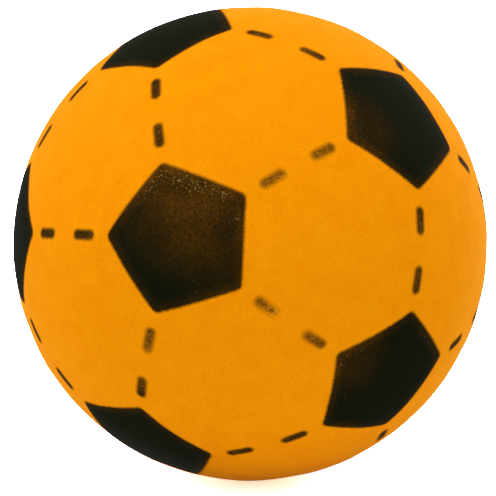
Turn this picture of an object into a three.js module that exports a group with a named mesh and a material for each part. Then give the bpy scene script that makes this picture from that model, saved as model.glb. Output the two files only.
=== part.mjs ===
// Foam play ball with a football pattern. One solid ball of soft polyurethane foam carries black ink, sprayed
// on as twelve pentagons with a row of dashes leading from each pentagon's corners to its neighbours.
// Millimetres, +Z up, front towards -Y. The origin is the middle of the flat that the ball rests on.
import * as THREE from 'three';
import { TessellateModifier } from 'three/addons/modifiers/TessellateModifier.js';
import { mergeVertices } from 'three/addons/utils/BufferGeometryUtils.js';

// Ball
const ballDiameter = 200;
const restFlatDiameter = 12; // where the soft foam gives under the ball's own weight

// Ink
const inkThickness = 0.2;
const inkClearance = 0.3; // between the foam and the underside of the ink
const pentagonReach = THREE.MathUtils.degToRad(17.9); // to where sides would meet, from the middle of the ball
const pentagonCornerRadius = 2.4;
const dashLength = 10.8;
const dashWidth = 3.7;
const dashShift = 0.3; // past halfway from a pentagon's corner to the middle of the line
const dashedPentagons = 9; // from the front, with five dashes each; the rest have theirs in the finish only

// How the ball lies: where the front pentagon faces, and how far it is turned about its own middle
const frontTurn = THREE.MathUtils.degToRad(-16.6);
const frontLift = THREE.MathUtils.degToRad(13.6);
const frontRoll = THREE.MathUtils.degToRad(106.8);

// Facets
const ballSegments = 60;
const ballRings = 30;
const pentagonCornerSegments = 4;
const dashEndSegments = 6;

// Worked out from the sizes above
const ballRadius = ballDiameter / 2;
const restFlatRadius = restFlatDiameter / 2;
const centreHeight = Math.sqrt(ballRadius ** 2 - restFlatRadius ** 2);
const fifthTurn = (2 * Math.PI) / 5;
const neighbourAngle = Math.atan(2); // between neighbouring corners of an icosahedron
const dashAngle = (pentagonReach + neighbourAngle / 2) / 2 + dashShift / ballRadius;
const longestInkEdge = Math.sqrt(4 * ballRadius * inkClearance); // its middle dips by half the clearance

// An arc gets two steps for each division
function arcDivisions(steps) {
  return steps / 2;
}

// Solid of revolution: a flat foot, then an arc up to the top of the ball
function foamBody() {
  const profile = new THREE.Path();
  profile.moveTo(0, -centreHeight);
  profile.lineTo(restFlatRadius, -centreHeight);
  profile.absarc(0, 0, ballRadius, -Math.acos(restFlatRadius / ballRadius), Math.PI / 2);
  const points = profile.getPoints(arcDivisions(ballRings));
  return new THREE.LatheGeometry(points, ballSegments).rotateX(Math.PI / 2);
}

// Regular pentagon with rounded corners, the first one towards +X
function pentagonOutline() {
  const cornerDistance = ballRadius * Math.tan(pentagonReach);
  const arcDistance = cornerDistance - pentagonCornerRadius / Math.cos(fifthTurn / 2);
  const outline = new THREE.Shape();
  for (let corner = 0; corner < 5; corner++) {
    const angle = corner * fifthTurn;
    const x = arcDistance * Math.cos(angle);
    const y = arcDistance * Math.sin(angle);
    outline.absarc(x, y, pentagonCornerRadius, angle - fifthTurn / 2, angle + fifthTurn / 2);
  }
  return outline;
}

// Stadium along X
function dashOutline() {
  const endRadius = dashWidth / 2;
  const endDistance = dashLength / 2 - endRadius;
  const outline = new THREE.Shape();
  outline.absarc(endDistance, 0, endRadius, -Math.PI / 2, Math.PI / 2);
  outline.absarc(-endDistance, 0, endRadius, Math.PI / 2, (3 * Math.PI) / 2);
  return outline;
}

// Film of ink around +Z. The outline is drawn on the plane that touches the ball there, and every point is
// then pulled in towards the middle of the ball until it lies on the ball's skin, so that straight edges
// become great circles.
function inkFilm(outline, arcSegments) {
  const curveSegments = arcDivisions(arcSegments);
  const settings = { depth: inkThickness, bevelEnabled: false, curveSegments };
  const sheet = new THREE.ExtrudeGeometry(outline, settings);
  sheet.deleteAttribute('normal');
  sheet.deleteAttribute('uv');
  const film = mergeVertices(new TessellateModifier(longestInkEdge, Infinity).modify(sheet));
  const position = film.getAttribute('position');
  const point = new THREE.Vector3();
  for (let i = 0; i < position.count; i++) {
    point.fromBufferAttribute(position, i);
    const radius = ballRadius + inkClearance + point.z;
    point.setZ(ballRadius).setLength(radius);
    position.setXYZ(i, point.x, point.y, point.z);
  }
  film.computeVertexNormals();
  return film;
}

// Middles of the twelve pentagons, as directions from the middle of the ball: the corners of an icosahedron,
// from the one that faces the front, by two rings of five, to the one at the back
function pentagonDirections() {
  const lie = new THREE.Euler(-frontLift, frontRoll, frontTurn, 'ZXY');
  const place = (fromFront, around) =>
    new THREE.Vector3(
      Math.sin(fromFront) * Math.cos(around),
      -Math.cos(fromFront),
      Math.sin(fromFront) * Math.sin(around),
    ).applyEuler(lie);
  const fives = [0, 1, 2, 3, 4];
  return [
    place(0, 0),
    ...fives.map((step) => place(neighbourAngle, step * fifthTurn)),
    ...fives.map((step) => place(Math.PI - neighbourAngle, (step + 0.5) * fifthTurn)),
    place(Math.PI, 0),
  ];
}

// Turn that makes a film's +Z face along `out`, with its +X leading `towards`
function facing(out, towards) {
  const across = new THREE.Vector3().crossVectors(out, towards).normalize();
  const along = new THREE.Vector3().crossVectors(across, out);
  return new THREE.Quaternion().setFromRotationMatrix(new THREE.Matrix4().makeBasis(along, across, out));
}

function foam() {
  return new THREE.MeshStandardMaterial({ color: 0xf48f0a, roughness: 0.9, metalness: 0 });
}

function ink() {
  return new THREE.MeshStandardMaterial({ color: 0x1c1d19, roughness: 0.8, metalness: 0 });
}

const ball = new THREE.Group();
ball.position.z = centreHeight;

function addPiece(name, geometry, material) {
  const piece = new THREE.Mesh(geometry, material);
  piece.name = name;
  ball.add(piece);
  return piece;
}

addPiece('foam_body', foamBody(), foam());

const directions = pentagonDirections();
const pentagonFilm = inkFilm(pentagonOutline(), pentagonCornerSegments);
const dashFilm = inkFilm(dashOutline(), dashEndSegments);
directions.forEach((middle, index) => {
  const number = String(index + 1).padStart(2, '0');
  const neighbours = directions.filter((other) => other !== middle && other.dot(middle) > 0);
  addPiece(`ink_pentagon_${number}`, pentagonFilm, ink()).quaternion.copy(facing(middle, neighbours[0]));
  if (index >= dashedPentagons) return;
  neighbours.forEach((neighbour, step) => {
    const axis = new THREE.Vector3().crossVectors(middle, neighbour).normalize();
    const out = middle.clone().applyAxisAngle(axis, dashAngle);
    addPiece(`ink_dash_${number}_${step + 1}`, dashFilm, ink()).quaternion.copy(facing(out, neighbour));
  });
});

export default ball;
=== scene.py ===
# %% [markdown]
# # A foam ball with a sprayed football pattern
#
# The real ball is one solid lump of soft orange foam. Black ink was sprayed on it through a stencil: a
# pentagon at each of twelve places, and short dashes along the lines that join them. This lesson starts
# from a measured frame of plain solids, gives every piece its finished surface, and then sets it on a white
# floor with soft light and a camera.
#
# Everything is in metres, with +Z up and the front of the ball towards -Y.

# %% Load the measured frame
import math
import bpy
import numpy as np
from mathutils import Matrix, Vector


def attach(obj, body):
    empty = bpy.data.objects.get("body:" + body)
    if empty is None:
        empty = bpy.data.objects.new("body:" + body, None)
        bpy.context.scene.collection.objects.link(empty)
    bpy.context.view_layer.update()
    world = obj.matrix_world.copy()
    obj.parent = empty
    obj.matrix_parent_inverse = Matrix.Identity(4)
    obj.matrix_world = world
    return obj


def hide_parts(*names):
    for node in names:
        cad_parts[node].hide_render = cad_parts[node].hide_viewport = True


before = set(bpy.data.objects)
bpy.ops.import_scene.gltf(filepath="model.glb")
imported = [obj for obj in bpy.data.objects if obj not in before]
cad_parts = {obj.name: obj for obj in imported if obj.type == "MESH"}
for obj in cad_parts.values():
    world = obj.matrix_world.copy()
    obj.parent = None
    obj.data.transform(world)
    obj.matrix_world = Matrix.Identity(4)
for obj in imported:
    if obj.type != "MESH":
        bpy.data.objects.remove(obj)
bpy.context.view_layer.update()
print(len(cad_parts), "solids in the frame")

# %% [markdown]
# ## The size of the ball
#
# The ball rests on a small flat where the soft foam gives way. Its radius could be typed in again, but
# reading it from the frame keeps the two models in step. For a ball cut flat at height zero, the radius R,
# the height of the top t and the radius of the flat f obey R = (f² + t²) / 2t.

# %% Measure the ball
MM = 0.001
FLOOR_TOUCH = 0.01 * MM  # corners that are lower than this lie on the floor


def points_of(node):
    """All the corners of a solid of the frame, as an array of points."""
    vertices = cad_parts[node].data.vertices
    points = np.empty(3 * len(vertices))
    vertices.foreach_get("co", points)
    return points.reshape(-1, 3)


foam_points = points_of("foam_body")
top = foam_points[:, 2].max()
on_floor = foam_points[:, 2] < FLOOR_TOUCH
flat_radius = np.hypot(foam_points[on_floor, 0], foam_points[on_floor, 1]).max()
ball_radius = (flat_radius**2 + top**2) / (2 * top)
centre = np.array([0.0, 0.0, top - ball_radius])
print(f"ball {2 * ball_radius / MM:.1f} mm across, on a flat of {2 * flat_radius / MM:.1f} mm")

# %% [markdown]
# ## The places of the print
#
# Each pentagon and each dash is a thin film in the frame. A film's middle, seen from the middle of the
# ball, is a direction, and that is all the print needs: the pentagons sit at the corners of an icosahedron,
# and a dash stands at the same angle from its pentagon towards each of the five neighbours. The mean of a
# film's triangles, weighted by their areas, gives its middle however the triangles are cut.

# %% Find the middle of every pentagon
ITSELF = 0.9  # cosine of an angle that is too small for two different pentagons


def unit(vectors):
    """Each vector divided by its own length."""
    return vectors / np.linalg.norm(vectors, axis=-1, keepdims=True)


def direction_of(node):
    """Way from the middle of the ball to the middle of a film: the area-weighted mean of its triangles."""
    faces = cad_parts[node].data.polygons
    areas = np.empty(len(faces))
    middles = np.empty(3 * len(faces))
    faces.foreach_get("area", areas)
    faces.foreach_get("center", middles)
    return unit(areas @ middles.reshape(-1, 3) / areas.sum() - centre)


pentagon_nodes = sorted(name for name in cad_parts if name.startswith("ink_pentagon"))
pentagon_ways = np.array([direction_of(name) for name in pentagon_nodes])
closeness = pentagon_ways @ pentagon_ways.T  # cosines; a neighbour is less than a right angle away
neighbours = [np.flatnonzero((row > 0) & (row < ITSELF)) for row in closeness]
print(len(pentagon_nodes), "pentagons, each with", len(neighbours[0]), "neighbours")

# %% [markdown]
# A film's outline is drawn on the flat plane that touches the ball at the film's middle. Drawing each point
# in towards the middle of the ball turns straight lines on that plane into great circles, which is how the
# edge of a stencil lies when it is wrapped round a ball. The same plane serves to measure the films.

# %% Measure a pentagon and a dash


def frame_at(way, towards):
    """Two unit vectors across a film: along leads towards a second direction, across is square to it."""
    across = unit(np.cross(way, towards))
    along = np.cross(across, way)
    return along, across


def on_plane(points, way, along, across):
    """Where the rays from the middle of the ball through the points meet the plane that touches it at way."""
    rays = points - centre
    rays = rays * (ball_radius / (rays @ way))[:, None]
    return rays @ along, rays @ across


first, second = pentagon_ways[0], pentagon_ways[neighbours[0][0]]
x, y = on_plane(points_of(pentagon_nodes[0]), first, *frame_at(first, second))
pentagon_reach, pentagon_side = np.hypot(x, y).max(), -x.min()

first_dash = direction_of("ink_dash_01_1")
dash_angle = np.arccos(first_dash @ first)
x, y = on_plane(points_of("ink_dash_01_1"), first_dash, *frame_at(first_dash, second))
dash_length, dash_width = np.ptp(x), np.ptp(y)
print(f"pentagon {pentagon_reach / MM:.1f} mm from middle to corner, {pentagon_side / MM:.1f} mm to a side")
print(f"dash {dash_length / MM:.1f} by {dash_width / MM:.1f} mm, {math.degrees(dash_angle):.1f} degrees out")

# %% [markdown]
# ## The foam
#
# Moulded foam is never quite round: its skin heaves by a tenth of a millimetre or so over a few
# centimetres. That is too little to change the outline, but it breaks the light gently. A sum of slow waves
# in many directions gives it, and because it is a plain function of direction, the ink can follow the same
# skin. Where the ball would sink below the floor it is pressed flat.

# %% Describe the foam's skin
WAVES = 40
HEAVE = 0.09 * MM
SHORTEST_MM, LONGEST_MM = 14, 45
WAVE_SEED = 10  # a draw whose heave stays inside the box of the frame
wave_draw = np.random.default_rng(WAVE_SEED)
wave_ways = unit(wave_draw.normal(size=(WAVES, 3)))
wave_lengths = wave_draw.uniform(SHORTEST_MM, LONGEST_MM, WAVES) * MM
wave_starts = wave_draw.uniform(0, 2 * np.pi, WAVES)


def foam_skin(ways, lift=0.0):
    """Points on the foam: radius plus heave, a sum of sine waves, plus a lift, but never below the floor."""
    turns = 2 * np.pi * ball_radius * (ways @ wave_ways.T) / wave_lengths + wave_starts
    heave = HEAVE * np.sin(turns).sum(-1) / math.sqrt(WAVES / 2)
    points = centre + ways * (ball_radius + heave + lift)[..., None]
    points[..., 2] = np.maximum(points[..., 2], 0.0)
    return points


print(f"{WAVES} waves of {wave_lengths.min() / MM:.0f} to {wave_lengths.max() / MM:.0f} mm")

# %% [markdown]
# A ball can be wrapped by lines of latitude, but those crowd together at the poles and show there. Six
# square grids, one on each side of a cube, pushed out to the ball, give quads of nearly one size
# everywhere. Grid lines at equal steps of angle, not of length, keep them even.

# %% Wrap a cube's six grids round a ball
FOAM_STEPS = 126
SAME_DIGITS = 7  # directions that agree to this many digits are one corner of two grids


def cube_ball(steps):
    """Directions and quads of a cube pushed out to a ball: the point at angles a, b is (1, tan a, tan b)."""
    lines = np.tan(np.linspace(-np.pi / 4, np.pi / 4, steps + 1))
    u, v = np.meshgrid(lines, lines, indexing="ij")
    one = np.ones_like(u)
    sides = [(one, u, v), (-one, -u, v), (-u, one, v), (u, -one, v), (u, v, one), (-u, v, -one)]
    ways = unit(np.stack([np.stack(side, -1) for side in sides]).reshape(-1, 3))
    number = np.arange(len(ways)).reshape(6, steps + 1, steps + 1)
    corners = (number[:, :-1, :-1], number[:, 1:, :-1], number[:, 1:, 1:], number[:, :-1, 1:])
    quads = np.stack(corners, -1).reshape(-1, 4)
    rounded = np.round(ways, SAME_DIGITS)
    _, kept, merged = np.unique(rounded, axis=0, return_index=True, return_inverse=True)
    return ways[kept], merged.reshape(-1)[quads]


foam_ways, foam_quads = cube_ball(FOAM_STEPS)
print(len(foam_quads), "quads, each about", f"{ball_radius * np.pi / 2 / FOAM_STEPS / MM:.1f} mm wide")

# %% [markdown]
# Every piece enters the scene the same way: as a smooth mesh at the origin, with its place in its points,
# that rides on the ball's one body. The foam takes the place of the frame's plain ball.

# %% Add the foam


def add_piece(name, points, faces):
    """A smooth mesh at the origin that rides on the ball."""
    mesh = bpy.data.meshes.new(name)
    mesh.from_pydata(points.tolist(), [], faces)
    mesh.shade_smooth()
    piece = bpy.data.objects.new(name, mesh)
    bpy.context.scene.collection.objects.link(piece)
    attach(piece, "root")
    return piece


foam = add_piece("foam_ball", foam_skin(foam_ways), foam_quads.tolist())
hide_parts("foam_body")
print(foam.name, "has", len(foam.data.vertices), "points")

# %% [markdown]
# ## The outlines of the ink
#
# A film is a round grid: rings from the middle out to a rim, and spokes round it. All it needs is how far
# out the rim lies on each spoke, and, for the finish, how deep inside the outline each point lies. A
# rounded pentagon is a smaller pentagon grown by its corner radius, so both can be worked out in one half
# of one corner. The radius r follows from what was measured: sides at distance s meet at s / cos 36°, and
# rounding brings the tip in from there by r / cos 36° - r.

# %% Draw the pentagon's outline
FIFTH = 2 * np.pi / 5
half_cosine, half_sine = math.cos(FIFTH / 2), math.sin(FIFTH / 2)
corner_radius = (pentagon_side - pentagon_reach * half_cosine) / (1 - half_cosine)
corner_middle = pentagon_reach - corner_radius


def fold(turn):
    """Angle from the nearest corner of a pentagon with a corner at angle zero."""
    return np.abs((turn + FIFTH / 2) % FIFTH - FIFTH / 2)


def pentagon_depth(x, y):
    """Depth inside a rounded pentagon: the corner radius less the distance to the nearest place, a corner or
    a side, of the smaller pentagon through the middles of the corner circles."""
    folded = fold(np.arctan2(y, x))
    reach = np.hypot(x, y)
    off_x = reach * np.cos(folded) - corner_middle
    off_y = reach * np.sin(folded)
    past_side = off_x * half_cosine + off_y * half_sine
    along_side = off_y * half_cosine - off_x * half_sine
    return corner_radius - np.where(along_side > 0, past_side, np.hypot(off_x, off_y))


def pentagon_rim(turn, margin):
    """Reach of the pentagon grown by a margin: on a side, its distance over the cosine of the angle from the
    side's middle, and at a corner, the far crossing of the spoke with the corner's circle."""
    folded = fold(turn)
    radius = corner_radius + margin
    side = corner_middle * half_cosine + radius
    corner_ends = math.atan2(radius * half_sine, corner_middle + radius * half_cosine)
    inside = np.maximum(radius**2 - (corner_middle * np.sin(folded)) ** 2, 0.0)
    at_corner = corner_middle * np.cos(folded) + np.sqrt(inside)
    return np.where(folded < corner_ends, at_corner, side / np.cos(FIFTH / 2 - folded))


print(f"pentagon corners {corner_radius / MM:.1f} mm round")

# %% [markdown]
# A dash is a straight line grown by half its width, which rounds its ends, so its depth is a distance to
# that line.

# %% Draw the dash's outline
dash_radius = dash_width / 2
dash_half = dash_length / 2 - dash_radius
TINY = 1e-9  # stands for the zero of a spoke that runs straight along a dash


def dash_depth(x, y):
    """Depth inside a dash: half its width less the distance to the straight line down its middle."""
    return dash_radius - np.hypot(np.maximum(np.abs(x) - dash_half, 0.0), y)


def dash_rim(turn, margin):
    """Reach of the dash grown by a margin: to a long side, or past its end to the round end's circle."""
    radius = dash_radius + margin
    along, across = np.abs(np.cos(turn)), np.abs(np.sin(turn))
    inside = np.maximum(radius**2 - (dash_half * across) ** 2, 0.0)
    at_end = dash_half * along + np.sqrt(inside)
    to_side = radius / np.maximum(across, TINY)
    return np.where(to_side * along < dash_half, to_side, at_end)


print(f"dash ends {dash_radius / MM:.2f} mm round")

# %% [markdown]
# ## The ink films
#
# Sprayed ink dries in the top of the foam, so it lies on the skin with no edge to feel. A flat decal would
# do for one picture, but a closed body can be measured and printed, so each film is a thin lens: two round
# grids, one above the skin and one just inside the foam, that share a feathered rim.

# %% Join the grids of a lens


def lens_faces(rings, spokes):
    """Faces of a closed lens of two discs with a shared rim. Corners are numbered: upper middle, upper rings
    with the rim last, lower middle, lower rings without a rim."""
    step = np.arange(spokes)
    after = (step + 1) % spokes
    upper = 1 + np.arange(rings * spokes).reshape(rings, spokes)
    lower_middle = 1 + rings * spokes
    lower = lower_middle + 1 + np.arange((rings - 1) * spokes).reshape(rings - 1, spokes)
    lower = np.vstack([lower, upper[-1:]])
    over = np.stack([upper[:-1], upper[1:], upper[1:][:, after], upper[:-1][:, after]], -1)
    under = np.stack([lower[:-1], lower[:-1][:, after], lower[1:][:, after], lower[1:]], -1)
    over_fan = np.stack([np.zeros_like(step), upper[0], upper[0, after]], -1)
    under_fan = np.stack([np.full_like(step, lower_middle), lower[0, after], lower[0]], -1)
    quads = np.concatenate([over.reshape(-1, 4), under.reshape(-1, 4)])
    return quads.tolist() + over_fan.tolist() + under_fan.tolist()


print(len(lens_faces(3, 8)), "faces in a lens of 3 rings and 8 spokes")

# %% [markdown]
# The rim lies outside the nominal outline, in bare foam, so that the finish can let the edge of the ink
# wander. Two values go with every point for that, as attributes of the mesh: the depth inside the outline,
# in millimetres, and how much ink was laid down there. The rim is marked sharp, because smooth shading would
# otherwise turn the upper side's normals out at its edge and draw a bright line there.

# %% Make a film
INK_LIFT = 0.03 * MM
INK_ROOT = 0.08 * MM
RIM_SINK = 0.02 * MM


def add_film(name, way, towards, outline, ink_load):
    """A lens of ink. Its grid point at ring share s and spoke angle a is s times the rim's reach along a, on
    the plane that touches the ball, drawn in to the skin. Over the margin outside the outline, the lift falls
    in a straight line to a rim sunk in the foam."""
    rings, spokes = outline["rings"], outline["spokes"]
    turn = np.linspace(0, 2 * np.pi, spokes, endpoint=False)
    rim = outline["rim"](turn, outline["margin"])
    share = np.concatenate([[0.0], np.repeat(rings, spokes)])
    reach = share * np.concatenate([[0.0], np.tile(rim, len(rings))])
    spoke = np.concatenate([[0.0], np.tile(turn, len(rings))])
    x, y = reach * np.cos(spoke), reach * np.sin(spoke)

    along, across = frame_at(way, towards)
    ways = unit(ball_radius * way + x[:, None] * along + y[:, None] * across)
    depth = outline["depth"](x, y)
    lift = np.interp(depth, [-outline["margin"], 0.0], [-RIM_SINK, INK_LIFT])
    inner = share < 1
    points = np.vstack([foam_skin(ways, lift), foam_skin(ways[inner], np.full(inner.sum(), -INK_ROOT))])
    film = add_piece(name, points, lens_faces(len(rings), spokes))

    edges = np.empty(2 * len(film.data.edges), dtype=int)
    film.data.edges.foreach_get("vertices", edges)
    on_rim = np.isin(edges, np.flatnonzero(share == 1)).reshape(-1, 2).all(1)
    sharp = film.data.attributes.new("sharp_edge", "BOOLEAN", "EDGE")
    sharp.data.foreach_set("value", on_rim)
    for label, values in (("ink_depth", depth / MM), ("ink_load", ink_load(ways, x / x.max()))):
        attribute = film.data.attributes.new(label, "FLOAT", "POINT")
        attribute.data.foreach_set("value", np.concatenate([values, values[inner]]))
    return film


print(f"ink {INK_LIFT / MM:.2f} mm above the skin and {INK_ROOT / MM:.2f} mm into it")

# %% [markdown]
# The spray was heavy on most of the ball and thinner in places, where the black turns brown: above the
# middle of the front pentagon, on the near corners of the two to its right, over all the dashes that face
# the viewer, and a little more on a few of these. The load is a number from 0, bare foam, to 1, solid ink,
# that dips smoothly around each such spot. The spray was aimed at the pentagons, so the dashes are thinner,
# most of all at their far ends.

# %% Spread the spray
PENTAGON_SPOTS = [  # way to a thin spot, its reach in degrees and the share of ink that its middle lacks
    ((-0.24, -0.90, 0.38), 21, 0.053),
    ((-0.13, -0.98, 0.14), 14, 0.01),
    ((0.43, -0.65, 0.62), 14, 0.024),
    ((0.38, -0.89, -0.26), 14, 0.022),
]
DASH_SPOTS = [
    ((0.05, -0.99, 0.15), 50, 0.19),
    ((0.07, -1.00, -0.04), 15, 0.07),
    ((0.31, -0.76, 0.58), 15, 0.06),
    ((-0.43, -0.88, -0.21), 15, 0.06),
    ((0.26, -0.34, 0.90), 26, 0.03),
]


def spray(full, spots, far_loss=0.0):
    """Ink load as a function of place. Around each thin spot, half a cosine wave from its reach in to its
    middle is taken from the full load. What is lacking to solid ink grows along the film, by the far loss at
    its far end, and shrinks as much at its near end."""

    def ink_load(ways, share_along):
        lacking = 1 - full
        for spot, reach, share in spots:
            angle = np.degrees(np.arccos(np.clip(ways @ unit(np.array(spot)), -1, 1)))
            lacking = lacking + share * (0.5 + 0.5 * np.cos(np.pi * np.minimum(angle / reach, 1)))
        return 1 - lacking * (1 + far_loss * share_along)

    return ink_load


pentagon_spray = spray(full=1.0, spots=PENTAGON_SPOTS)
dash_spray = spray(full=0.975, spots=DASH_SPOTS, far_loss=0.4)
print(f"load on the front pentagon's middle: {pentagon_spray(pentagon_ways[0], 0.0):.3f}")

# %% [markdown]
# The grids can be coarse where nothing happens and must be fine where the ink ends. A pentagon's rings are
# wide apart in the middle and close near the rim, and it has spokes enough to keep its corners.

# %% Lay down the pentagons
pentagon_outline = {
    "rim": pentagon_rim,
    "depth": pentagon_depth,
    "margin": 1.5 * MM,
    "spokes": 160,
    "rings": np.concatenate([np.linspace(0.1, 0.9, 9), np.linspace(0.92, 1, 7)]),
}
pentagon_films = []
for node, way, near in zip(pentagon_nodes, pentagon_ways, neighbours):
    name = node.replace("ink", "sprayed")
    film = add_film(name, way, pentagon_ways[near[0]], pentagon_outline, pentagon_spray)
    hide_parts(node)
    pentagon_films.append(film)
print(len(pentagon_films), "pentagons of", len(pentagon_films[0].data.vertices), "points")

# %% [markdown]
# Every pentagon has a dash in line with each of its corners. The frame holds the dashes that the front and
# the sides show, and the loop makes those of the pentagons at the back as well. A film that stands for a
# solid of the frame hides it: the solid whose middle is nearest to its own.

# %% Lay down the dashes
SAME_PLACE = 0.9999  # cosine of the angle between two middles that count as one
dash_nodes = sorted(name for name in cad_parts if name.startswith("ink_dash"))
dash_node_ways = np.array([direction_of(name) for name in dash_nodes])
dash_outline = {
    "rim": dash_rim,
    "depth": dash_depth,
    "margin": 2.0 * MM,
    "spokes": 48,
    "rings": np.linspace(0.125, 1, 8),
}
dash_films = []
for number, (way, near) in enumerate(zip(pentagon_ways, neighbours), start=1):
    for step, other in enumerate(pentagon_ways[near], start=1):
        along, _ = frame_at(way, other)
        dash_way = math.cos(dash_angle) * way + math.sin(dash_angle) * along
        film = add_film(f"sprayed_dash_{number:02d}_{step}", dash_way, other, dash_outline, dash_spray)
        nearest = np.argmax(dash_node_ways @ dash_way)
        if dash_node_ways[nearest] @ dash_way > SAME_PLACE:
            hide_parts(dash_nodes[nearest])
        dash_films.append(film)
print(len(dash_films), "dashes of", len(dash_films[0].data.vertices), "points")

# %% [markdown]
# ## Tools for the finishes
#
# A finish is a small network of nodes. Colours are picked as they look on a screen, as hex numbers, but
# light adds up in linear values, so one function turns the first into the second. Another turns the width
# of a pattern in millimetres into a texture's scale. A third adds a node, sets its properties and fills its
# sockets, and a fourth starts a material with no nodes.

# %% Define the tools for the finishes


def linear(hex_colour):
    """A hex sRGB colour as linear red, green, blue and alpha: a straight line for the darkest values, and a
    power of 2.4 above them."""
    srgb = np.array([int(hex_colour[i : i + 2], 16) for i in (1, 3, 5)]) / 255
    rgb = np.where(srgb <= 0.04045, srgb / 12.92, ((srgb + 0.055) / 1.055) ** 2.4)
    return (*rgb.tolist(), 1.0)


def per_metre(width_mm):
    """Texture scale for features of a width in millimetres, on coordinates in metres."""
    return 1000 / width_mm


def add(tree, kind, inputs, **settings):
    """Adds a node: settings are its properties, and inputs give each socket a value or another's output."""
    node = tree.nodes.new("ShaderNode" + kind)
    for name, value in settings.items():
        setattr(node, name, value)
    for socket, value in inputs.items():
        if isinstance(value, bpy.types.NodeSocket):
            tree.links.new(value, node.inputs[socket])
        else:
            node.inputs[socket].default_value = value
    return node


def new_material(name):
    """A new material with an empty node tree, and the tree."""
    material = bpy.data.materials.new(name)
    material.use_nodes = True
    material.node_tree.nodes.clear()
    return material, material.node_tree


print("half way up on a screen is", f"{linear('#808080')[0]:.2f}", "of the light")

# %% [markdown]
# ## The finish of the foam
#
# Soft polyurethane foam is dyed right through and left as it came out of the mould. Its skin is a felt of
# tiny open cells, about half a millimetre wide, so it has no gloss. The colour is very even, with a slow
# mottle a shade or so deep, and each cell is a little rougher in its pit than on its walls. Painted shade
# darkens each pit a little and lightens each wall. Noise and a cell pattern on Object coordinates give all
# of this, and since every piece sits at the origin, the same pattern runs on under the ink.

# %% Colour and relief of foam
CELL_MM = 0.9  # real cells are about half this; drawn coarser so that they show
WALL, PIT = 0.15, 0.75  # the cell pattern's values on a wall and in a pit
# painted shade: factors on the colour at a cell's wall and in its pit
WALL_PAINTED_SHADE, PIT_PAINTED_SHADE = 1.03, 0.93
WALL_ROUGHNESS, PIT_ROUGHNESS = 0.9, 1.0
FUZZ_MM = 0.45
MOTTLE_MM = 9
NOISE_LOW, NOISE_HIGH = 0.3, 0.7  # most of a noise lies between these
FOAM_PALE, FOAM_DEEP = linear("#F29304"), linear("#EE8C01")
RELIEF_DEPTH = 0.12 * MM
RELIEF_STRENGTH = 0.6


def foam_surface(tree):
    """Foam's Object coordinates, its colour, a slow mottle between two oranges with painted shade in the
    cells' pits, its roughness and its normals, which follow the cells and a fine fuzz."""
    place = add(tree, "TexCoord", {}).outputs["Object"]
    mottle = add(tree, "TexNoise", {"Vector": place, "Scale": per_metre(MOTTLE_MM), "Detail": 3.0})
    cells = add(tree, "TexVoronoi", {"Vector": place, "Scale": per_metre(CELL_MM)}, feature="SMOOTH_F1")
    fuzz = add(tree, "TexNoise", {"Vector": place, "Scale": per_metre(FUZZ_MM), "Detail": 2.0})
    pit = cells.outputs["Distance"]

    blend = add(tree, "MapRange", {
        "Value": mottle.outputs[0], "From Min": NOISE_LOW, "From Max": NOISE_HIGH,
    })
    tone = add(tree, "Mix", {0: blend.outputs[0], 6: FOAM_DEEP, 7: FOAM_PALE}, data_type="RGBA")
    # painted shade: each cell's pit darker than its walls
    painted_pit_shade = add(tree, "MapRange", {
        "Value": pit, "From Min": WALL, "From Max": PIT, "To Min": WALL_PAINTED_SHADE, "To Max": PIT_PAINTED_SHADE,
    })
    colour = add(tree, "Mix", {
        0: 1.0, 6: tone.outputs[2], 7: painted_pit_shade.outputs[0],
    }, data_type="RGBA", blend_type="MULTIPLY")
    rough = add(tree, "MapRange", {
        "Value": pit, "From Min": WALL, "From Max": PIT, "To Min": WALL_ROUGHNESS, "To Max": PIT_ROUGHNESS,
    })
    relief = add(tree, "Math", {0: fuzz.outputs[0], 1: pit}, operation="SUBTRACT")
    bump = add(tree, "Bump", {
        "Height": relief.outputs[0], "Distance": RELIEF_DEPTH, "Strength": RELIEF_STRENGTH,
    })
    return place, colour.outputs[2], rough.outputs[0], bump.outputs[0]


print(f"foam cells drawn {CELL_MM} mm wide")

# %% [markdown]
# A smooth plastic mirrors a little light, but torn cell walls scatter it, so the specular level is close to
# nothing. What the eye sees instead is a bloom: at the rim of the ball the many thin walls stand edge on
# and glow in the foam's own colour. Sheen, made for cloth, does just that, tinted a paler orange.

# %% Finish the foam
FOAM_BLOOM = linear("#FFD65C")
BLOOM_WEIGHT, BLOOM_ROUGHNESS = 0.2, 0.3
FOAM_IOR = 1.5
SCATTERED_SPECULAR = 0.02  # the little that torn cell walls still mirror


def polyurethane_foam():
    """Moulded open-cell foam: quite matt, evenly dyed, with an orange bloom at grazing angles."""
    material, tree = new_material("polyurethane_foam")
    _, colour, rough, normal = foam_surface(tree)
    shader = add(tree, "BsdfPrincipled", {
        "Base Color": colour, "Roughness": rough, "Normal": normal,
        "IOR": FOAM_IOR, "Specular IOR Level": SCATTERED_SPECULAR,
        "Sheen Weight": BLOOM_WEIGHT, "Sheen Roughness": BLOOM_ROUGHNESS, "Sheen Tint": FOAM_BLOOM,
    })
    add(tree, "OutputMaterial", {"Surface": shader.outputs[0]})
    return material


foam.data.materials.append(polyurethane_foam())
print("foam finished with", foam.data.materials[0].name)

# %% [markdown]
# ## The finish of the ink
#
# The ink is a black, water-based spray paint. Its outline is crisp where the ink is full and softer where it
# is thin, and all of it is a little ragged, cell by cell, with a trace of spray outside. An image could hold
# such an edge, but only at one size. Here the depth that is stored on the films, moved in and out by a grain
# and divided by the softness, goes through a smooth step.

# %% Cover the outline
GRAIN_MM = 0.8
GRAIN_IN, GRAIN_OUT = 0.25, 0.75  # the grain's values where the edge lies farthest in and farthest out
RAGGED_MM = 0.25
OVERSPRAY_MM = 0.3
CRISP_MM = 0.9
SOFTEN_MM = 3.0  # what would be added to the softness of an edge where no ink is left


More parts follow.
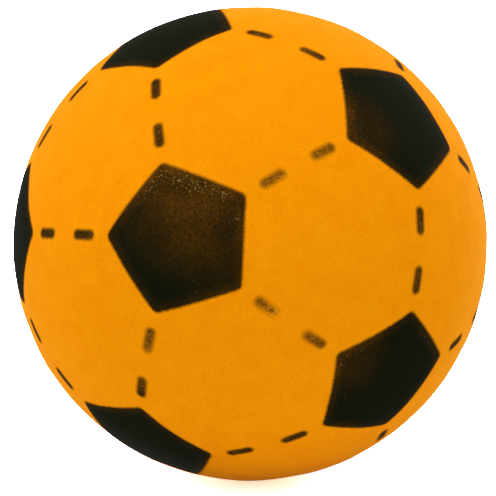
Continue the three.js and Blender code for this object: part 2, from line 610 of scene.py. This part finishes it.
def ink_cover(tree, depth, load, grain):
    """Share of the ground that ink covers: a smooth step, as wide as the edge is soft on either side, of the
    depth plus the overspray and a ragged part. What the load lacks makes the edge softer."""
    soft = add(tree, "Math", {0: load, 1: -SOFTEN_MM, 2: CRISP_MM + SOFTEN_MM}, operation="MULTIPLY_ADD")
    ragged = add(tree, "MapRange", {
        "Value": grain, "From Min": GRAIN_IN, "From Max": GRAIN_OUT,
        "To Min": OVERSPRAY_MM - RAGGED_MM, "To Max": OVERSPRAY_MM + RAGGED_MM,
    })
    edge = add(tree, "Math", {0: depth, 1: ragged.outputs[0]}, operation="ADD")
    step = add(tree, "Math", {0: edge.outputs[0], 1: soft.outputs[0]}, operation="DIVIDE")
    cover = add(tree, "MapRange", {
        "Value": step.outputs[0], "From Min": -1.0, "From Max": 1.0,
    }, interpolation_type="SMOOTHSTEP")
    return cover.outputs[0]


print(f"edge ragged by {RAGGED_MM} mm, grain {GRAIN_MM} mm")

# %% [markdown]
# Spray coats the walls of the foam's cells and leaves some of their insides bare, so thin ink is a grain of
# black and orange that the eye blends to brown. It lets through what the load lacks, up to twice as much
# towards the edges, in slow patches and a fine grain.

# %% Let the foam show through
PATCH_MM = 11
PATCH_LEAST, PATCH_MOST = 0.7, 1.3
GRAIN_LEAST, GRAIN_MOST = 0.4, 1.6
FADE_MM, FADE_BARE = 5, 0.022


def bare_share(tree, place, depth, load, grain):
    """Share of bare foam in the ink: what the load lacks, times one plus the nearness of the edge, plus a
    little at any edge, times slow patches, times the grain."""
    fading = add(tree, "MapRange", {"Value": depth, "From Max": FADE_MM, "To Min": 1.0, "To Max": 0.0})
    edge = fading.outputs[0]
    lacking = add(tree, "Math", {0: 1.0, 1: load}, operation="SUBTRACT").outputs[0]
    raised = add(tree, "Math", {0: edge, 1: lacking, 2: lacking}, operation="MULTIPLY_ADD").outputs[0]
    faded = add(tree, "Math", {0: edge, 1: FADE_BARE, 2: raised}, operation="MULTIPLY_ADD").outputs[0]
    patch = add(tree, "TexNoise", {"Vector": place, "Scale": per_metre(PATCH_MM), "Detail": 1.0})
    patchy = add(tree, "MapRange", {
        "Value": patch.outputs[0], "From Min": NOISE_LOW, "From Max": NOISE_HIGH,
        "To Min": PATCH_LEAST, "To Max": PATCH_MOST,
    })
    thin = add(tree, "Math", {0: faded, 1: patchy.outputs[0]}, operation="MULTIPLY").outputs[0]
    grainy = add(tree, "MapRange", {
        "Value": grain, "From Min": NOISE_LOW, "From Max": NOISE_HIGH,
        "To Min": GRAIN_LEAST, "To Max": GRAIN_MOST,
    })
    bare = add(tree, "Math", {0: thin, 1: grainy.outputs[0]}, operation="MULTIPLY", use_clamp=True)
    return bare.outputs[0]


print(f"ink fades over the last {FADE_MM} mm, in patches of {PATCH_MM} mm")

# %% [markdown]
# Where ink is thin, and a little way in from its edge, a dry cell wall stands out here and there as a pale
# speck, and the same specks stand for painted glints of light on the cell edges. A noise that only just
# reaches past a threshold gives such rare spots, and thin ink lifts it there.

# %% Scatter pale specks
# pale specks: dry cell walls and painted glints of light
DRY_CELL_AND_GLINT = linear("#8C763E")
SPECK_FIRST_MM, SPECK_MOST_MM, SPECK_LAST_MM = 0.5, 2.3, 12  # depths at which specks begin, peak and end
SPECK_LIFT = 0.215  # the most that thin ink lifts the noise
LIFT_START, LIFT_FULL = 0.008, 0.03  # what the ink lacks where the lift starts and where it is full
SPECK_START, SPECK_FULL = 0.85, 0.95  # the lifted noise where a speck starts and where it is full
SPECK_SHARE = 0.58


def speck_share(tree, place, depth, load):
    """Share of dry cell wall and painted glint: how far a fine noise passes a threshold. The noise is
    lifted by what the load lacks, times a peak over the depths where specks are found."""
    dust = add(tree, "TexNoise", {"Vector": place, "Scale": per_metre(GRAIN_MM), "Detail": 0.0})
    begun = add(tree, "MapRange", {"Value": depth, "From Min": SPECK_FIRST_MM, "From Max": SPECK_MOST_MM})
    left = add(tree, "MapRange", {"Value": depth, "From Min": SPECK_LAST_MM, "From Max": SPECK_MOST_MM})
    peak = add(tree, "Math", {0: begun.outputs[0], 1: left.outputs[0]}, operation="MINIMUM")
    lacking = add(tree, "Math", {0: 1.0, 1: load}, operation="SUBTRACT")
    dry_and_glint = add(tree, "Math", {0: peak.outputs[0], 1: lacking.outputs[0]}, operation="MULTIPLY")
    lifted = add(tree, "MapRange", {
        "Value": dry_and_glint.outputs[0], "From Min": LIFT_START, "From Max": LIFT_FULL, "To Max": SPECK_LIFT,
    })
    chance = add(tree, "Math", {0: dust.outputs[0], 1: lifted.outputs[0]}, operation="ADD")
    speck = add(tree, "MapRange", {
        "Value": chance.outputs[0], "From Min": SPECK_START, "From Max": SPECK_FULL, "To Max": SPECK_SHARE,
    })
    return speck.outputs[0]


print(f"specks past {SPECK_START} of the noise")

# %% [markdown]
# The finish stacks these up: black ink, foam showing through it, specks on top, and outside the outline
# plain foam, the same in colour and relief as the foam beneath the film. Where there is ink the surface is
# a little smoother.

# %% Finish the ink
INK_BLACK = linear("#0F1205")
INK_ROUGHNESS = 0.8
INK_IOR = 1.5


def sprayed_ink():
    """Water-based black spray paint, dried in foam: matt, black to brown, grainy, ragged at its edge."""
    material, tree = new_material("sprayed_ink")
    place, foam_colour, foam_rough, normal = foam_surface(tree)
    depth = add(tree, "Attribute", {}, attribute_name="ink_depth").outputs["Fac"]
    load = add(tree, "Attribute", {}, attribute_name="ink_load").outputs["Fac"]
    grain = add(tree, "TexNoise", {"Vector": place, "Scale": per_metre(GRAIN_MM), "Detail": 1.0}).outputs[0]
    cover = ink_cover(tree, depth, load, grain)
    bare = bare_share(tree, place, depth, load, grain)
    speck = speck_share(tree, place, depth, load)

    brown = add(tree, "Mix", {0: bare, 6: INK_BLACK, 7: foam_colour}, data_type="RGBA")
    # pale specks on the ink: dry cell walls and painted glints
    specked = add(tree, "Mix", {0: speck, 6: brown.outputs[2], 7: DRY_CELL_AND_GLINT}, data_type="RGBA")
    colour = add(tree, "Mix", {0: cover, 6: foam_colour, 7: specked.outputs[2]}, data_type="RGBA")
    rough = add(tree, "Mix", {0: cover, 2: foam_rough, 3: INK_ROUGHNESS}, data_type="FLOAT")
    shader = add(tree, "BsdfPrincipled", {
        "Base Color": colour.outputs[2], "Roughness": rough.outputs[0], "Normal": normal,
        "IOR": INK_IOR, "Specular IOR Level": SCATTERED_SPECULAR,
    })
    add(tree, "OutputMaterial", {"Surface": shader.outputs[0]})
    return material


ink = sprayed_ink()
for film in pentagon_films + dash_films:
    film.data.materials.append(ink)
print(len(pentagon_films + dash_films), "films finished with", ink.name)

# %% [markdown]
# ## The floor
#
# The ball stands on a plain white floor, so bright in the photograph that it is paper white, with hardly
# any shadow left, only a warm tint where the ball meets it. Brighter lamps would bleach the ball as well.
# Instead the floor is plain white paint to the light, and only the rays that come straight from the camera
# see it overexposed: a given tint plus the light on the paint, raised until all but the deepest shadow is
# white. The given tint is a painted shadow colour laid round the ball, peach near it and rose farther out:
# outwards from the ball the raised light turns yellow before it is white, so the painted tint loses green
# there and the sum stays peach.

# %% Lay the floor
FLOOR_RADIUS = 6.0
FLOOR_SPOKES = 64
FLOOR_DROP = 0.1 * MM  # just clear of the flat under the ball
FLOOR_WHITE = linear("#F6FDF2")  # a trace of green, since the ball reddens the floor under it
# painted shadow: warm colours laid round the ball's contact, near and far
SHADOW_TINT_NEAR, SHADOW_TINT_FAR = linear("#FFFABC"), linear("#FF8CBC")
TINT_START, TINT_END = 11 * MM, 36 * MM  # from the middle of the flat, on the floor
FLOOR_GIVEN = 0.6  # light that the camera is given even where none falls
FLOOR_GAIN = 6.0  # times that the light on the paint is raised for the camera
WHITE = (1.0, 1.0, 1.0, 1.0)


def white_floor():
    """White paint to light, white to reflections, raised paint and a painted shadow tint to the camera."""
    material, tree = new_material("white_floor")
    ray = add(tree, "LightPath", {}).outputs
    glossy, through = ray["Is Glossy Ray"], ray["Is Transmission Ray"]
    mirrored = add(tree, "Math", {0: glossy, 1: through}, operation="MAXIMUM")
    paint = add(tree, "BsdfDiffuse", {"Color": FLOOR_WHITE})
    plain = add(tree, "Emission", {"Color": WHITE, "Strength": 1.0})
    unseen = add(tree, "MixShader", {0: mirrored.outputs[0], 1: paint.outputs[0], 2: plain.outputs[0]})
    raised = add(tree, "BsdfDiffuse", {"Color": (FLOOR_GAIN, FLOOR_GAIN, FLOOR_GAIN, 1.0)})
    place = add(tree, "TexCoord", {}).outputs["Object"]
    distance = add(tree, "VectorMath", {0: place}, operation="LENGTH").outputs["Value"]
    # painted shadow tint, by distance from the middle of the flat
    away = add(tree, "MapRange", {"Value": distance, "From Min": TINT_START, "From Max": TINT_END})
    tint = add(tree, "Mix", {0: away.outputs[0], 6: SHADOW_TINT_NEAR, 7: SHADOW_TINT_FAR}, data_type="RGBA")
    given = add(tree, "Emission", {"Color": tint.outputs[2], "Strength": FLOOR_GIVEN})
    seen = add(tree, "AddShader", {0: raised.outputs[0], 1: given.outputs[0]})
    floor = add(tree, "MixShader", {0: ray["Is Camera Ray"], 1: unseen.outputs[0], 2: seen.outputs[0]})
    add(tree, "OutputMaterial", {"Surface": floor.outputs[0]})
    return material


def disc(radius, height, spokes):
    """A flat disc: one face through points at the radius times the cosine and sine of each spoke's angle."""
    turn = np.linspace(0, 2 * np.pi, spokes, endpoint=False)
    points = np.stack([radius * np.cos(turn), radius * np.sin(turn), np.full(spokes, height)], -1)
    return points, [list(range(spokes))]


scene = bpy.context.scene
floor_points, floor_faces = disc(FLOOR_RADIUS, -FLOOR_DROP, FLOOR_SPOKES)
floor_mesh = bpy.data.meshes.new("floor")
floor_mesh.from_pydata(floor_points.tolist(), [], floor_faces)
floor = bpy.data.objects.new("floor", floor_mesh)
floor.data.materials.append(white_floor())
scene.collection.objects.link(floor)
print("floor", 2 * FLOOR_RADIUS, "m across")

# %% [markdown]
# ## The light
#
# The photograph was lit from all round, as in a light tent. A plain white world gives the tent. Its
# strength for the camera and for reflections is one, which is white, and for the light that falls on the
# ball it is lower.

# %% Light the tent
TENT_STRENGTH = 0.62

world = bpy.data.worlds.new("light_tent")
world.use_nodes = True
tent = world.node_tree
tent.nodes.clear()
ray = add(tent, "LightPath", {}).outputs
shown = add(tent, "Math", {0: ray["Is Camera Ray"], 1: ray["Is Glossy Ray"]}, operation="MAXIMUM")
shown = add(tent, "Math", {0: shown.outputs[0], 1: ray["Is Transmission Ray"]}, operation="MAXIMUM")
strength = add(tent, "MapRange", {"Value": shown.outputs[0], "To Min": TENT_STRENGTH, "To Max": 1.0})
glow = add(tent, "Background", {"Color": WHITE, "Strength": strength.outputs[0]})
add(tent, "OutputWorld", {"Surface": glow.outputs[0]})
scene.world = world
print("tent at", TENT_STRENGTH, "of white")

# %% [markdown]
# More light came from above and a little from the left, and a stronger light from behind on the right
# brightens the rim there. Wide square lamps give it, so that no edge of a shadow shows. The colours are
# shown as they are, by the Standard view.

# %% Hang the lamps
LAMP_SIZE = 1.2
LAMPS = {  # place in metres and power in watts
    "overhead_softbox": ((-0.05, -0.35, 1.55), 14.0),
    "left_softbox": ((-1.3, 0.35, 0.5), 6.2),
    "right_softbox": ((1.1, 1.2, 0.5), 13.0),
}


def aim(holder, place, target):
    """Puts a lamp or camera into the scene, its -Z axis from its place to a target and its X axis level."""
    holder.location = place
    holder.rotation_euler = Vector(target - place).to_track_quat("-Z", "Y").to_euler()
    scene.collection.objects.link(holder)


for name, (place, power) in LAMPS.items():
    light = bpy.data.lights.new(name, "AREA")
    light.shape = "SQUARE"
    light.size = LAMP_SIZE
    light.energy = power
    aim(bpy.data.objects.new(name, light), np.array(place), centre)
scene.view_settings.view_transform = "Standard"
print(len(LAMPS), "lamps of", sum(power for _, power in LAMPS.values()), "W in all")

# %% [markdown]
# ## The camera
#
# The outline of the ball in the photograph is a circle, and how the pattern crowds towards its edge tells
# how far away the camera was: ten and a half radii. From there the outline's half angle is asin(R /
# distance), which sets the lens, and the circle's middle sets the small shift.

# %% Set up the camera
SENSOR_MM = 36.0
IMAGE_SIZE = 496  # in pixels, like the outline's middle and radius
OUTLINE_MIDDLE = (249.75, 243.3)
OUTLINE_RADIUS = 236.9
CAMERA_DISTANCE = 10.57 * ball_radius
CAMERA_ELEVATION = math.radians(13)

camera_data = bpy.data.cameras.new("camera")
camera_data.sensor_width = SENSOR_MM
pixels_per_slope = OUTLINE_RADIUS / math.tan(math.asin(ball_radius / CAMERA_DISTANCE))
camera_data.lens = SENSOR_MM * pixels_per_slope / IMAGE_SIZE
middle = (IMAGE_SIZE - 1) / 2
camera_data.shift_x = (middle - OUTLINE_MIDDLE[0]) / IMAGE_SIZE
camera_data.shift_y = (OUTLINE_MIDDLE[1] - middle) / IMAGE_SIZE
camera = bpy.data.objects.new("camera", camera_data)
camera_way = np.array([0.0, -math.cos(CAMERA_ELEVATION), math.sin(CAMERA_ELEVATION)])
aim(camera, centre + CAMERA_DISTANCE * camera_way, centre)
scene.camera = camera
print(f"lens {camera_data.lens:.0f} mm at {CAMERA_DISTANCE:.2f} m")
